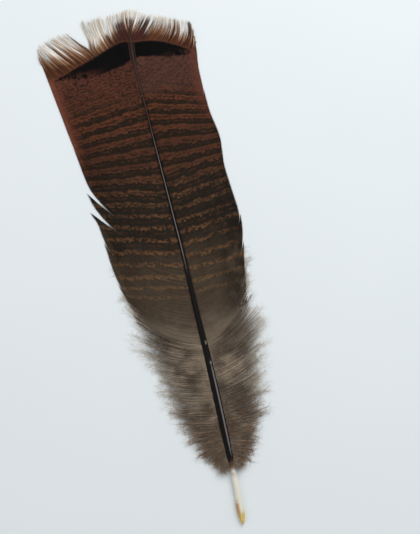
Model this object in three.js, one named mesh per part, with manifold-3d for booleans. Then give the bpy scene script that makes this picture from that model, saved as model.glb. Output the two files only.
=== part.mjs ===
// Tail covert feather of a turkey, in millimetres, lying on its concave underside.
// +Y runs from the end of the quill to the fringed tip, +Z is up, and the patterned outer face is on top.
// The shaft and both vanes grew as one piece, so they are joined into one solid.

import * as THREE from 'three';
import { mergeVertices } from 'three/addons/utils/BufferGeometryUtils.js';
import Module from 'manifold-3d';

// Shaft. Each pair is a distance from the end of the quill and the value there.
const shaftLength = 184;
const shaftPoint = 0.3;
const shaftSides = 12;
const shaftRings = 34;
const ringSpread = 1.25;
const shaftSway = [[0, 0.1], [6, 0.4], [20, 0.72], [45, 0.72], [60, 0.62], [80, 0.15], [100, -0.1],
  [115, -0.6], [150, -1.85], [172, -2.55], [184, -2.0]];
const shaftRadius = [[0, 0.45], [2, 1.0], [6, 1.4], [12, 1.12], [20, 1.0], [30, 1.3], [48, 1.4], [60, 1.25],
  [72, 1.02], [84, 0.84], [100, 0.66], [120, 0.5], [150, 0.34], [172, 0.26], [184, 0.16]];
const shaftHeight = [[0, 1.0], [5, 1.15], [20, 2.0], [50, 4.1], [85, 5.0], [120, 4.8], [150, 3.7], [172, 2.1],
  [190, 0.9]];

// Barb lines. Columns: distance along the shaft where the line leaves it, the x and y of its tip, and the
// angles in degrees between it and the shaft at its root and at its tip.
const leftBarbs = [
  [23, -3.8, 17.5, 112, 160],
  [27, -8.2, 23.6, 104, 118],
  [33, -12.6, 32.0, 94, 94],
  [40, -16.4, 42.5, 86, 78],
  [48, -19.4, 53.5, 82, 66],
  [56, -22.0, 65.0, 80, 60],
  [63, -25.2, 75.2, 80, 58],
  [67.5, -24.8, 86.0, 80, 34],
  [74, -26.0, 96.0, 78, 22],
  [80, -26.8, 103.8, 76, 20],
  [92, -28.2, 117.5, 70, 24],
  [98, -29.8, 122.4, 68, 40],
  [103, -29.9, 129.0, 66, 34],
  [108, -29.8, 135.0, 64, 18],
  [124, -31.8, 153.0, 60, 10],
  [139, -34.2, 169.5, 58, 8],
  [149, -35.6, 180.5, 56, 12],
  [153, -34.2, 184.0, 55, 36],
  [157, -29.5, 185.8, 53, 42],
  [161.4, -24.3, 187.0, 50, 43],
  [161.6, -19.2, 189.4, 49, 14],
  [168, -12.8, 190.0, 44, 3],
  [173, -8.4, 190.1, 38, -8],
  [178, -4.2, 190.5, 28, -8],
  [182.5, -0.6, 190.6, 14, -12],
];
const rightBarbs = [
  [23, 5.2, 17.5, 112, 160],
  [27, 9.6, 24.0, 104, 118],
  [33, 14.0, 32.5, 94, 94],
  [40, 17.6, 42.5, 86, 78],
  [48, 20.4, 53.5, 82, 66],
  [56, 22.8, 64.5, 80, 60],
  [63, 25.0, 75.0, 80, 58],
  [67.5, 21.8, 85.5, 80, 32],
  [73, 21.2, 92.5, 78, 20],
  [80, 22.2, 99.5, 76, 20],
  [90, 23.2, 108.5, 72, 12],
  [101, 22.2, 119.0, 68, 8],
  [111, 21.4, 129.0, 64, 10],
  [121, 22.0, 138.0, 60, 4],
  [135, 20.2, 151.0, 56, 4],
  [147, 19.8, 164.0, 54, 8],
  [156, 20.6, 174.5, 50, 6],
  [160, 20.2, 180.8, 46, 4],
  [164, 16.6, 182.8, 40, 2],
  [168, 12.6, 184.8, 35, 8],
  [172, 9.0, 186.8, 31, 26],
  [176, 5.6, 187.8, 25, 34],
  [179.5, 2.6, 189.6, 18, 28],
  [182.5, 0.2, 190.6, 8, 16],
];
const barbReach = 0.38;
const rootDepth = 0.25;

// Locks: the bundles of barbs that hold together. Each pair is a place on the shaft and a lock's width there.
const lockWidths = [[23, 3.6], [60, 4.4], [72, 6.2], [148, 6.6], [156, 2.7], [183, 2.2]];
const fusedSteps = 8;
const freeSteps = 4;
const downEnd = 66;

// Where the fringe's tips part: pairs of x and y.
const leftFringeLine = [[-36, 175.5], [-24, 176.5], [-16, 177.5], [-8, 179.6], [-2, 180.0]];
const rightFringeLine = [[-3, 179.6], [2, 178.8], [8, 177.6], [14, 175.0], [21, 172.5]];
const shortestFringe = 3;

// The worn places of the left vane: two slits in its rim, and the wedge where its fringe has parted.
const leftSlits = [98, 103];
const slitReach = 2.5;
const partingPlace = 161.5;
const partingReach = 1.4;
const partingHalf = 0.1;

// What each kind of lock has: the share along which it is joined to its neighbours and how much that varies,
// how far its end narrows, how much its end may fall short, and the height of its ridge.
const lockKinds = {
  down: { fused: 0.7, fusedVaries: 0.16, narrows: 0.8, fallsShort: 0.12, ridge: 0.9 },
  vane: { fused: 0.955, fusedVaries: 0, narrows: 0.45, fallsShort: 0.012, ridge: 0.16 },
  fringe: { fused: 0.955, fusedVaries: 0, narrows: 0.8, fallsShort: 0.12, ridge: 0.3 },
};
const slitFused = 0.74;
const leastFused = 0.2;
const shareStep = 0.01;
const narrowing = 1.3;

// Heights across a vane, from the shaft to the rim that lies flat on the surface, and its thickness.
const rootRaise = 0.2;
const rootSink = 0.22;
const rimHeight = 0.28;
const rimStart = 0.8;
const vaneThickness = 0.6;
const tipThickness = 0.45;
const leastThickness = 0.4;
const downThickness = 2.2;
const downLift = 0.22;
const downFade = [60, 70];

// A smooth curve through a list of pairs or rows, read at one place.
function along(rows, place, column = 1) {
  const last = rows.length - 1;
  const at = THREE.MathUtils.clamp(place, rows[0][0], rows[last][0]);
  let i = 0;
  while (i < last - 1 && rows[i + 1][0] < at) i += 1;
  const [a, b] = [rows[i], rows[i + 1]];
  const before = rows[Math.max(i - 1, 0)];
  const after = rows[Math.min(i + 2, last)];
  const span = b[0] - a[0];
  const t = (at - a[0]) / span;
  const slope = (b[column] - a[column]) / span;
  const slopeA = flatter(slope, (a[column] - before[column]) / (a[0] - before[0] || 1));
  const slopeB = flatter(slope, (after[column] - b[column]) / (after[0] - b[0] || 1));
  const t2 = t * t;
  const t3 = t2 * t;
  return (2 * t3 - 3 * t2 + 1) * a[column] + (t3 - 2 * t2 + t) * span * slopeA
    + (3 * t2 - 2 * t3) * b[column] + (t3 - t2) * span * slopeB;
}

// The harmonic mean of two slopes, which keeps a curve from swinging past its points.
function flatter(slope, next) {
  return slope * next > 0 ? (2 * slope * next) / (slope + next) : 0;
}

// An irregular but fixed number from 0 to 1 for each place or count.
function uneven(count) {
  const wave = Math.sin(count * 12.9898 + 4.1) * 43758.5453;
  return wave - Math.floor(wave);
}

// Turns a closed geometry into a solid, with its shared corners merged and empty triangles left out.
function toSolid(wasm, geometry) {
  geometry.deleteAttribute('normal');
  geometry.deleteAttribute('uv');
  const merged = mergeVertices(geometry, 1e-4);
  const corners = merged.getIndex().array;
  const kept = [];
  for (let i = 0; i < corners.length; i += 3) {
    const [a, b, c] = corners.slice(i, i + 3);
    if (a !== b && b !== c && c !== a) kept.push(a, b, c);
  }
  const places = new Float32Array(merged.getAttribute('position').array);
  const mesh = new wasm.Mesh({ numProp: 3, vertProperties: places, triVerts: new Uint32Array(kept) });
  return new wasm.Manifold(mesh);
}

// The shaft: a turned profile, bent sideways and arched, and flat where it lies on the surface.
function shaftGeometry() {
  const profile = [new THREE.Vector2(0, 0)];
  for (let i = 0; i <= shaftRings; i += 1) {
    const y = shaftLength * (i / shaftRings) ** ringSpread;
    profile.push(new THREE.Vector2(along(shaftRadius, y), y));
  }
  profile.push(new THREE.Vector2(0, shaftLength + shaftPoint));
  const geometry = new THREE.LatheGeometry(profile, shaftSides);
  const places = geometry.getAttribute('position');
  for (let i = 0; i < places.count; i += 1) {
    const y = places.getY(i);
    places.setX(i, places.getX(i) + along(shaftSway, y));
    places.setZ(i, Math.max(0, places.getZ(i) + along(shaftHeight, y)));
  }
  return geometry;
}

// One barb line from the shaft to its tip, as a curve seen from above.
function barbCurve(table, side, rootY) {
  const [tipX, tipY, leave, arrive] = [1, 2, 3, 4].map((column) => along(table, rootY, column));
  const rootX = along(shaftSway, rootY) + side * rootDepth * along(shaftRadius, rootY);
  const root = new THREE.Vector2(rootX, rootY);
  const tip = new THREE.Vector2(tipX, tipY);
  const reach = barbReach * root.distanceTo(tip);
  const [a0, a1] = [leave, arrive].map(THREE.MathUtils.degToRad);
  const first = new THREE.Vector2(root.x + side * Math.sin(a0) * reach, root.y + Math.cos(a0) * reach);
  const second = new THREE.Vector2(tip.x - side * Math.sin(a1) * reach, tip.y - Math.cos(a1) * reach);
  return new THREE.CubicBezierCurve(root, first, second, tip);
}

// Down at the base, closed vane above it, free fringe at the tip.
function kindOfLock(curve, rootY, fringeLine) {
  if (rootY < downEnd) return 'down';
  return curve.v3.y > along(fringeLine, curve.v3.x) + shortestFringe ? 'fringe' : 'vane';
}

// The share of a seam along which its two locks hold together.
function fusedShare(curve, kind, rootY, side, fringeLine) {
  const { fused, fusedVaries } = lockKinds[kind];
  const nearSlit = side < 0 && leftSlits.some((slit) => Math.abs(slit - rootY) < slitReach);
  if (kind === 'vane' && nearSlit) return slitFused;
  if (kind !== 'fringe') return fused + fusedVaries * (uneven(rootY) - 0.5);
  const pastLine = (share) => curve.getPoint(share).y > along(fringeLine, curve.getPoint(share).x);
  let share = fused;
  while (share > leastFused && pastLine(share)) share -= shareStep;
  return share;
}

// Places on the shaft where one lock ends and the next begins.
function seamPlaces(table) {
  const places = [table[0][0]];
  const end = table[table.length - 1][0];
  while (places[places.length - 1] < end) {
    const from = places[places.length - 1];
    places.push(from + along(lockWidths, from));
  }
  const stretch = (end - places[0]) / (places[places.length - 1] - places[0]);
  return places.map((place) => places[0] + (place - places[0]) * stretch);
}

// A seam: the curve of the lock below it, the curve of the lock above it, and how far they run as one.
function makeSeam(table, side, fringeLine, rootY) {
  const parted = side < 0 && Math.abs(rootY - partingPlace) < partingReach;
  const below = barbCurve(table, side, parted ? partingPlace - partingHalf : rootY);
  const above = barbCurve(table, side, parted ? partingPlace + partingHalf : rootY);
  const kind = kindOfLock(below, rootY, fringeLine);
  return { rootY, below, above, kind, fused: fusedShare(below, kind, rootY, side, fringeLine) };
}

// How far a step is past the joined part of a lock: 0 up to there, 1 at the lock's tip.
function freeShare(step) {
  return Math.max(0, (step - fusedSteps) / freeSteps);
}

// The point of a seam at one step, for the lock above it or the lock below it.
function seamPoint(seam, step, forAbove) {
  const free = freeShare(step);
  const share = free > 0 ? seam.fused + (1 - seam.fused) * free : (seam.fused * step) / fusedSteps;
  const [below, above] = [seam.below.getPoint(share), seam.above.getPoint(share)];
  const own = forAbove ? above : below;
  const point = below.clone().lerp(above, 0.5).lerp(own, Math.sin((free * Math.PI) / 2));
  return { point, share };
}

// The vane's lower and upper height above the surface at a share of a barb line's length.
function layerAt(kind, rootY, share) {
  const rootHeight = along(shaftHeight, rootY) + rootRaise * along(shaftRadius, rootY) - rootSink;
  const drop = Math.max(0, 1 - (share / rimStart) ** 2);
  const downShare = 1 - THREE.MathUtils.smoothstep(rootY, ...downFade);
  const loft = downThickness * Math.sin(Math.PI * Math.min(1, 0.04 + share)) ** 0.8;
  const vane = THREE.MathUtils.lerp(vaneThickness, tipThickness, kind === 'fringe' ? share : 0);
  const thickness = THREE.MathUtils.lerp(vane, Math.max(vane, loft), downShare);
  const middle = rimHeight + (rootHeight - rimHeight) * drop + downLift * thickness * downShare;
  const bottom = Math.max(0, middle - thickness / 2);
  return { bottom, top: Math.max(bottom + leastThickness, middle + thickness / 2) };
}

// One vane: locks side by side, joined along their seams up to where each runs free to its own tip.
function vaneGeometry(table, side, fringeLine) {
  const seams = seamPlaces(table).map((place) => makeSeam(table, side, fringeLine, place));
  const steps = fusedSteps + freeSteps;
  const places = [];
  const corners = [];

  const addVertex = (point, height) => {
    places.push(point.x, point.y, height);
    return places.length / 3 - 1;
  };
  const addPair = (point, layer) => {
    const top = addVertex(point, layer.top);
    return { top, bottom: addVertex(point, layer.bottom) };
  };
  const addFace = (...loop) => {
    const turned = side > 0 ? loop : loop.reverse();
    for (let i = 1; i < turned.length - 1; i += 1) corners.push(turned[0], turned[i], turned[i + 1]);
  };

  const joined = seams.map((seam) => {
    const rows = [];
    for (let step = 0; step <= fusedSteps; step += 1) {
      const { point, share } = seamPoint(seam, step, true);
      rows.push(addPair(point, layerAt(seam.kind, seam.rootY, share)));
    }
    return rows;
  });

  for (let lock = 0; lock < seams.length - 1; lock += 1) {
    const [near, far] = [seams[lock], seams[lock + 1]];
    const { kind } = near;
    const { narrows, fallsShort, ridge } = lockKinds[kind];
    const rootY = (near.rootY + far.rootY) / 2;
    const neck = seamPoint(near, fusedSteps, true).point.lerp(seamPoint(far, fusedSteps, false).point, 0.5);
    const rows = [];
    for (let step = 0; step <= steps; step += 1) {
      const [low, high] = [seamPoint(near, step, true), seamPoint(far, step, false)];
      const free = freeShare(step);
      const middle = low.point.clone().lerp(high.point, 0.5);
      middle.lerp(neck, fallsShort * uneven(lock + side) * free);
      const share = (low.share + high.share) / 2;
      const layer = layerAt(kind, rootY, share);
      const rise = ridge * Math.sin(Math.PI * (0.02 + 0.92 * share)) ** 0.7;
      const crown = addVertex(middle, layer.top + rise);
      if (free > 0) {
        const pinch = narrows * free ** narrowing;
        const [a, b] = [low.point, high.point].map((point) => addPair(point.lerp(middle, pinch), layer));
        rows.push({ a, b, crown });
      } else {
        rows.push({ a: joined[lock][step], b: joined[lock + 1][step], crown });
      }
    }
    for (let step = 0; step < steps; step += 1) {
      const [p, q] = [rows[step], rows[step + 1]];
      addFace(p.a.top, q.a.top, q.crown, p.crown);
      addFace(p.crown, q.crown, q.b.top, p.b.top);
      addFace(p.a.bottom, p.b.bottom, q.b.bottom, q.a.bottom);
      const free = step >= fusedSteps;
      if (free || lock === 0) addFace(p.a.bottom, q.a.bottom, q.a.top, p.a.top);
      if (free || lock === seams.length - 2) addFace(q.b.bottom, p.b.bottom, p.b.top, q.b.top);
    }
    const [root, tip] = [rows[0], rows[steps]];
    addFace(root.b.bottom, root.a.bottom, root.a.top, root.crown, root.b.top);
    addFace(tip.a.bottom, tip.b.bottom, tip.b.top, tip.crown, tip.a.top);
  }

  const geometry = new THREE.BufferGeometry();
  geometry.setAttribute('position', new THREE.Float32BufferAttribute(places, 3));
  geometry.setIndex(corners);
  return geometry;
}

// Joins the shaft and the two vanes and gives the one solid back as a geometry.
async function featherGeometry() {
  const wasm = await Module();
  wasm.setup();
  const shaft = toSolid(wasm, shaftGeometry());
  const left = toSolid(wasm, vaneGeometry(leftBarbs, -1, leftFringeLine));
  const right = toSolid(wasm, vaneGeometry(rightBarbs, 1, rightFringeLine));
  const mesh = left.add(right).add(shaft).getMesh();
  const geometry = new THREE.BufferGeometry();
  geometry.setAttribute('position', new THREE.BufferAttribute(new Float32Array(mesh.vertProperties), 3));
  geometry.setIndex(new THREE.BufferAttribute(new Uint32Array(mesh.triVerts), 1));
  geometry.computeVertexNormals();
  return geometry;
}

// The origin is under the middle of the feather, on the surface that it lies on.
const geometry = await featherGeometry();
geometry.computeBoundingBox();
const { min, max } = geometry.boundingBox;
geometry.translate(-(min.x + max.x) / 2, -(min.y + max.y) / 2, -min.z);

const keratin = new THREE.MeshStandardMaterial({ color: 0x5a3a2a, roughness: 0.6, metalness: 0 });
const feather = new THREE.Mesh(geometry, keratin);
feather.name = 'feather';

const group = new THREE.Group();
group.add(feather);

export default group;
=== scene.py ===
import math

import bpy
import numpy as np
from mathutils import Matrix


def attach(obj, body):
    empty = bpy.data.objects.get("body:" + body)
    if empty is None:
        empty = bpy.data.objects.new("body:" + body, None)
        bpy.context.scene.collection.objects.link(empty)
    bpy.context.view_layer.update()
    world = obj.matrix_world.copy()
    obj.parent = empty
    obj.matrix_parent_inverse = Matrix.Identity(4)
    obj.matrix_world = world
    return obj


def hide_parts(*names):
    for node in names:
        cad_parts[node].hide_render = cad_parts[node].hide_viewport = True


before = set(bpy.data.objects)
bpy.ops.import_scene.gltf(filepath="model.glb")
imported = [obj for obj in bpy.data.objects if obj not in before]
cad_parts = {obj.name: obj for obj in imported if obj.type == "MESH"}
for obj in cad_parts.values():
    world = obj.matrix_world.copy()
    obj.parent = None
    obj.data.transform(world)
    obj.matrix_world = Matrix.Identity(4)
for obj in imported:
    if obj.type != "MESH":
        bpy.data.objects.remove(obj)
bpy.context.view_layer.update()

mm = 0.001
bpy.context.scene.view_settings.view_transform = "Standard"

# The feather's own measures, in millimetres from the end of the quill: y along it, x across it, z up.
shaftSway = [[0, 0.1], [6, 0.4], [20, 0.72], [45, 0.72], [60, 0.62], [80, 0.15], [100, -0.1], [115, -0.6],
             [150, -1.85], [172, -2.55], [184, -2.0]]
shaftRadius = [[0, 0.45], [2, 1.0], [6, 1.4], [12, 1.12], [20, 1.0], [30, 1.3], [48, 1.4], [60, 1.25],
               [72, 1.02], [84, 0.84], [100, 0.66], [120, 0.5], [150, 0.34], [172, 0.26], [184, 0.16]]
shaftHeight = [[0, 1.0], [5, 1.15], [20, 2.0], [50, 4.1], [85, 5.0], [120, 4.8], [150, 3.7], [172, 2.1],
               [190, 0.9]]

# Barb lines: place on the shaft, x and y of the tip, angle to the shaft at the root and at the tip.
# Two rows close together part the fringe there.
leftBarbs = [
    [23, -3.8, 17.5, 112, 160], [27, -8.2, 23.6, 104, 118], [33, -12.6, 32.0, 94, 94],
    [40, -16.4, 42.5, 86, 78], [48, -19.4, 53.5, 82, 66], [56, -22.0, 65.0, 80, 60],
    [63, -25.2, 75.2, 80, 58], [67.5, -24.8, 86.0, 80, 34], [74, -26.0, 96.0, 78, 22],
    [80, -26.8, 103.8, 76, 20], [92, -28.2, 117.5, 70, 24], [98, -29.8, 122.4, 68, 40],
    [103, -29.9, 129.0, 66, 34], [108, -29.8, 135.0, 64, 18], [124, -31.8, 153.0, 60, 10],
    [139, -34.2, 169.5, 58, 8], [149, -35.6, 180.5, 56, 12], [153, -34.2, 184.0, 55, 36],
    [157, -29.5, 185.8, 53, 42], [161.4, -24.3, 187.0, 50, 43], [161.6, -19.2, 189.4, 49, 14],
    [168, -12.8, 190.0, 44, 3], [173, -8.4, 190.1, 38, -6], [178, -4.4, 190.5, 25, -5],
    [182.5, -1.2, 190.6, 2, -7],
]
rightBarbs = [
    [23, 5.2, 17.5, 112, 160], [27, 9.6, 24.0, 104, 118], [33, 14.0, 32.5, 94, 94],
    [40, 17.6, 42.5, 86, 78], [48, 20.4, 53.5, 82, 66], [56, 22.8, 64.5, 80, 60],
    [63, 25.0, 75.0, 80, 58], [67.5, 21.8, 85.5, 80, 32], [73, 21.2, 92.5, 78, 20],
    [80, 22.2, 99.5, 76, 20], [90, 23.2, 108.5, 72, 12], [101, 22.2, 119.0, 68, 8],
    [111, 21.4, 129.0, 64, 10], [121, 22.0, 138.0, 60, 4], [135, 20.2, 151.0, 56, 4],
    [147, 19.8, 164.0, 54, 8], [156, 20.6, 174.5, 50, 6], [160, 20.2, 180.8, 46, 4],
    [164, 16.6, 182.8, 40, 2], [168, 12.6, 184.8, 35, 8], [172, 9.0, 186.8, 31, 26],
    [176, 5.6, 187.8, 25, 34], [179.5, 2.4, 189.8, 14, 26], [182.5, -0.4, 190.6, -4, 14],
]
barbReach = 0.38        # how far a barb keeps its angle, as a share of its length
partingPlace = 161.5    # where the left fringe has its wedge
rimHeight = 0.28        # the height of the vane's rim over the surface
rimStart = 0.8          # the share of a barb past which it lies flat

# Lines across the vane, as pairs of x and y: where the fringe starts, where it turns cream, the dark band.
fringeLine = {-1: [[-36, 175.5], [-24, 176.5], [-16, 177.5], [-8, 179.6], [-2, 180.0]],
              1: [[-3, 179.6], [2, 178.8], [8, 177.6], [14, 175.0], [21, 172.5]]}
creamLine = [[-36, 180], [-28, 180.5], [-15, 180.5], [-10, 182.5], [-6, 185.5], [-2, 186.5], [2, 185.5],
             [6, 184.6], [10, 182.5], [15, 179.8], [21, 177]]
bandTop = [[-35, 169.6], [-31.6, 171.2], [-25.8, 173.0], [-16.7, 175.8], [-9.1, 178.5], [-5, 179.3],
           [-1, 178.3], [3.2, 177.9], [8.2, 176.7], [12, 175.0], [16, 172.8], [18.8, 170.4], [21, 168.6]]
bandBottom = [[-35, 171.4], [-31.6, 170.4], [-25, 169.6], [-15.6, 169.3], [-9.9, 169.9], [-4.9, 171.4],
              [-0.9, 172.4], [3.4, 171.8], [8.7, 170.7], [13, 169.8], [17, 169.9], [21, 170.6]]

# The bars: place on the shaft and the count of bars there, and how much each climbs towards the rim.
barCount = {-1: [[78.4, -3], [92.0, 0], [96.6, 1], [110.1, 4], [123, 7], [133.4, 9], [143.4, 11], [152.7, 13],
                 [157.8, 14], [175, 18]],
            1: [[80, -2], [90, 0], [103.3, 3], [116.5, 6], [125.5, 8], [135.2, 10], [145.9, 12], [154, 14],
                [157.8, 15], [175, 19]]}
barClimb = {-1: [[88, 0.21], [118, 0.24], [128, 0.2], [135, 0.11], [144, 0.0], [158, -0.15], [175, -0.15]],
            1: [[88, 0.04], [110, 0.11], [129, 0.12], [135, 0.02], [141, -0.11], [150, -0.22], [158, -0.28],
                [175, -0.28]]}


def along(rows, place, column=1):  # a smooth curve through rows, read at many places
    rows = np.array(rows, float)
    place = np.clip(place, rows[0, 0], rows[-1, 0])
    i = np.clip(np.searchsorted(rows[:, 0], place) - 1, 0, len(rows) - 2)
    span = np.diff(rows[:, 0])
    slope = np.diff(rows[:, column]) / span
    before, after = np.r_[0, slope[:-1]], np.r_[slope[1:], 0]
    slopeA, slopeB = flatter(slope, before), flatter(slope, after)
    t = (place - rows[i, 0]) / span[i]
    t2, t3 = t ** 2, t ** 3
    return ((2 * t3 - 3 * t2 + 1) * rows[i, column] + (t3 - 2 * t2 + t) * span[i] * slopeA[i]
            + (3 * t2 - 2 * t3) * rows[i + 1, column] + (t3 - t2) * span[i] * slopeB[i])


def flatter(slope, other):  # keeps a curve from swinging past its points
    both = slope * other
    return np.where(both > 0, 2 * both / np.where(both > 0, slope + other, 1), 0)


def smoothStep(value, low, high):
    t = np.clip((value - low) / (high - low), 0, 1)
    return t * t * (3 - 2 * t)


# The quill's end is the CAD node's lowest point along y, which ties the measures to the frame.
corners = np.array([v.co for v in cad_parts["feather"].data.vertices])
quillEnd = corners[corners[:, 1].argmin()]
origin = np.array([quillEnd[0] - shaftSway[0][1] * mm, quillEnd[1], 0])


def toFrame(places):  # feather measures to metres in the frame
    return places * mm + origin


# Modelling helpers
def startEdit(name):
    piece = bpy.context.object
    piece.name = piece.data.name = name
    bpy.ops.object.transform_apply(location=True, rotation=True, scale=True)
    bpy.ops.object.mode_set(mode="EDIT")
    return piece


def modelStrand(steps, sides):  # one straight strand along z, cut into steps, its far end drawn to a point
    bpy.ops.object.select_all(action="DESELECT")
    bpy.ops.mesh.primitive_cylinder_add(vertices=sides, radius=1, depth=1, location=(0, 0, 0.5))
    strand = startEdit("strand")
    bpy.ops.mesh.select_mode(type="EDGE")
    bpy.ops.mesh.select_all(action="DESELECT")
    bpy.ops.object.mode_set(mode="OBJECT")
    for edge in strand.data.edges:
        low, high = [strand.data.vertices[i].co.z for i in edge.vertices]
        edge.select = abs(high - low) > 0.5
    bpy.ops.object.mode_set(mode="EDIT")
    bpy.ops.mesh.subdivide(number_cuts=steps - 1)
    bpy.ops.mesh.select_mode(type="VERT")
    bpy.ops.mesh.select_all(action="DESELECT")
    bpy.ops.object.mode_set(mode="OBJECT")
    for corner in strand.data.vertices:
        corner.select = corner.co.z > 1 - 0.5 / steps
    bpy.ops.object.mode_set(mode="EDIT")
    bpy.ops.mesh.merge(type="CENTER")
    bpy.ops.object.mode_set(mode="OBJECT")
    return strand


def layCopies(name, strand, middle, side, ridge, keel):
    # Lays a copy of the strand along each line and joins them in one mesh. Arrays have a line in each row
    # and a step in each column. The side is half the width, the ridge and keel reach up and down from it.
    mesh = strand.data
    count, rows = middle.shape[:2]
    shape = np.array([v.co for v in mesh.vertices])
    step = np.rint(shape[:, 2] * (rows - 1)).astype(int)
    across, upward = shape[:, 0][None, :, None], shape[:, 1][None, :, None]
    rise = np.where(upward > 0, upward * ridge[:, step], -upward * keel[:, step])
    places = middle[:, step] + across * side[:, step] + rise
    loops = np.array([loop.vertex_index for loop in mesh.loops])
    starts = np.array([face.loop_start for face in mesh.polygons])
    totals = np.array([face.loop_total for face in mesh.polygons])
    shift = np.arange(count)[:, None]
    piece = bpy.data.meshes.new(name)
    piece.vertices.add(count * len(shape))
    piece.vertices.foreach_set("co", toFrame(places).astype(np.float32).ravel())
    piece.loops.add(count * len(loops))
    piece.loops.foreach_set("vertex_index", (loops + shift * len(shape)).ravel())
    piece.polygons.add(count * len(starts))
    piece.polygons.foreach_set("loop_start", (starts + shift * len(loops)).ravel())
    piece.polygons.foreach_set("loop_total", np.tile(totals, count))
    piece.update(calc_edges=True)
    piece.validate()
    joined = bpy.data.objects.new(name, piece)
    bpy.context.scene.collection.objects.link(joined)
    faceUp = np.array([np.mean(shape[list(face.vertices), 1]) >= 0 for face in mesh.polygons])
    drawMap(piece, places.reshape(-1, 3), np.tile(np.repeat(faceUp, totals), count))
    return joined, places, step, shape


def drawMap(mesh, places, upper):  # seen from above on the left, and the underside beside it
    besideIt, margin = 1.03, 1.01
    flat = places[:, :2] - places[:, :2].min(0)
    wide, high = flat.max(0)
    size = max(high, 2 * besideIt * wide) * margin
    corner = np.array([loop.vertex_index for loop in mesh.loops])
    uv = flat[corner] / size
    uv[:, 0] += np.where(upper, 0, besideIt * wide / size)
    layer = mesh.uv_layers.new(name="OFBake", do_init=False)
    layer.uv.foreach_set("vector", uv.astype(np.float32).ravel())


def addMarks(piece, name, *values):  # three numbers at each corner, for the materials
    layer = piece.data.attributes.new(name, "FLOAT_VECTOR", "POINT")
    layer.data.foreach_set("vector", np.stack(np.broadcast_arrays(*values), -1).astype(np.float32).ravel())


def finishPiece(piece, material):
    piece.data.materials.clear()
    piece.data.materials.append(material)
    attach(piece, "root")
    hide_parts("feather")


# Node helpers
def fromByte(red, green, blue):  # a screen colour as light
    light = [c / 255 / 12.92 if c < 10.3 else ((c / 255 + 0.055) / 1.055) ** 2.4 for c in (red, green, blue)]
    return (*light, 1)


def fromBytes(colours):
    return {name: fromByte(*colour) for name, colour in colours.items()}


def addNode(tree, kind, inputs, **settings):  # each input gets a value, or a link from a node before it
    node = tree.nodes.new("ShaderNode" + kind)
    for key, value in settings.items():
        setattr(node, key, value)
    for key, value in inputs.items():
        if isinstance(value, bpy.types.NodeSocket):
            tree.links.new(value, node.inputs[key])
        else:
            node.inputs[key].default_value = value
    return node


def maths(tree, operation, first, second=0.0, third=0.0):
    return addNode(tree, "Math", {0: first, 1: second, 2: third}, operation=operation).outputs[0]


def ramp(tree, value, low, high, start=0.0, end=1.0):
    inputs = {"Value": value, "From Min": low, "From Max": high, "To Min": start, "To Max": end}
    return addNode(tree, "MapRange", inputs, interpolation_type="SMOOTHSTEP").outputs["Result"]


def product(tree, first, second):
    return maths(tree, "MULTIPLY", first, second)


def addScaled(tree, value, factor, other):
    return maths(tree, "MULTIPLY_ADD", value, factor, other)


def between(tree, value, start, full, leave, end):  # 0, up to 1 from start to full, back to 0 at end
    return product(tree, ramp(tree, value, start, full), ramp(tree, value, end, leave))


def centred(tree, value):  # a pattern from 0 to 1, moved to lie about 0
    return maths(tree, "SUBTRACT", value, 0.5)


def mixValue(tree, share, first, second):
    return addNode(tree, "Mix", {0: share, 2: first, 3: second}, data_type="FLOAT").outputs[0]


def mixColours(tree, share, first, second, blend="MIX"):
    node = addNode(tree, "Mix", {0: share, 6: first, 7: second}, data_type="RGBA", blend_type=blend)
    return node.outputs[2]


def layOver(tree, colour, share, strength, over):
    return mixColours(tree, product(tree, share, strength), colour, over)


def noise(tree, place, scale, detail=2.0, roughness=0.5, distortion=0.0):
    inputs = {"Vector": place, "Scale": scale, "Detail": detail, "Roughness": roughness}
    return addNode(tree, "TexNoise", inputs | {"Distortion": distortion}).outputs["Fac"]


def readMarks(tree, name):  # the three numbers that addMarks wrote
    layer = addNode(tree, "Attribute", {}, attribute_name=name).outputs["Vector"]
    return addNode(tree, "SeparateXYZ", {0: layer}).outputs


def inMillimetres(tree):
    place = addNode(tree, "TexCoord", {}).outputs["Object"]
    return addNode(tree, "VectorMath", {0: place, "Scale": 1 / mm}, operation="SCALE").outputs[0]


def stretched(tree, place, across, lengthwise):
    return addNode(tree, "Mapping", {"Vector": place, "Scale": (across, lengthwise, 1)}).outputs[0]


def newMaterial(name, roughness, specular):
    material = bpy.data.materials.new(name)
    material.use_nodes = True
    shader = material.node_tree.nodes["Principled BSDF"]
    shader.inputs["Roughness"].default_value = roughness
    shader.inputs["Specular IOR Level"].default_value = specular
    return material, material.node_tree, shader


def addBump(tree, shader, height, strength, depth):
    inputs = {"Height": height, "Strength": strength, "Distance": depth * mm}
    tree.links.new(addNode(tree, "Bump", inputs).outputs[0], shader.inputs["Normal"])


# Camera: straight down, as the photo was taken, with the feather leaning to the left in it.
cameraValues = {"photoHigh": 534, "mmPerPixel": 0.36, "lean": 12.376, "lens": 100, "sensor": 36,
                "aimX": 8.30, "aimY": 93.27, "aimZ": 2}


def addCamera(values):
    seenHigh = values["photoHigh"] * values["mmPerPixel"]
    data = bpy.data.cameras.new("camera")
    data.lens = values["lens"]
    data.sensor_width = values["sensor"]
    data.clip_start, data.clip_end = 0.01, 20
    camera = bpy.data.objects.new("camera", data)
    bpy.context.scene.collection.objects.link(camera)
    away = seenHigh * data.lens / data.sensor_width
    camera.location = toFrame(np.array([values["aimX"], values["aimY"], values["aimZ"] + away]))
    camera.rotation_euler = (0, 0, -math.radians(values["lean"]))
    bpy.context.scene.camera = camera


addCamera(cameraValues)
print("camera set")

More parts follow.
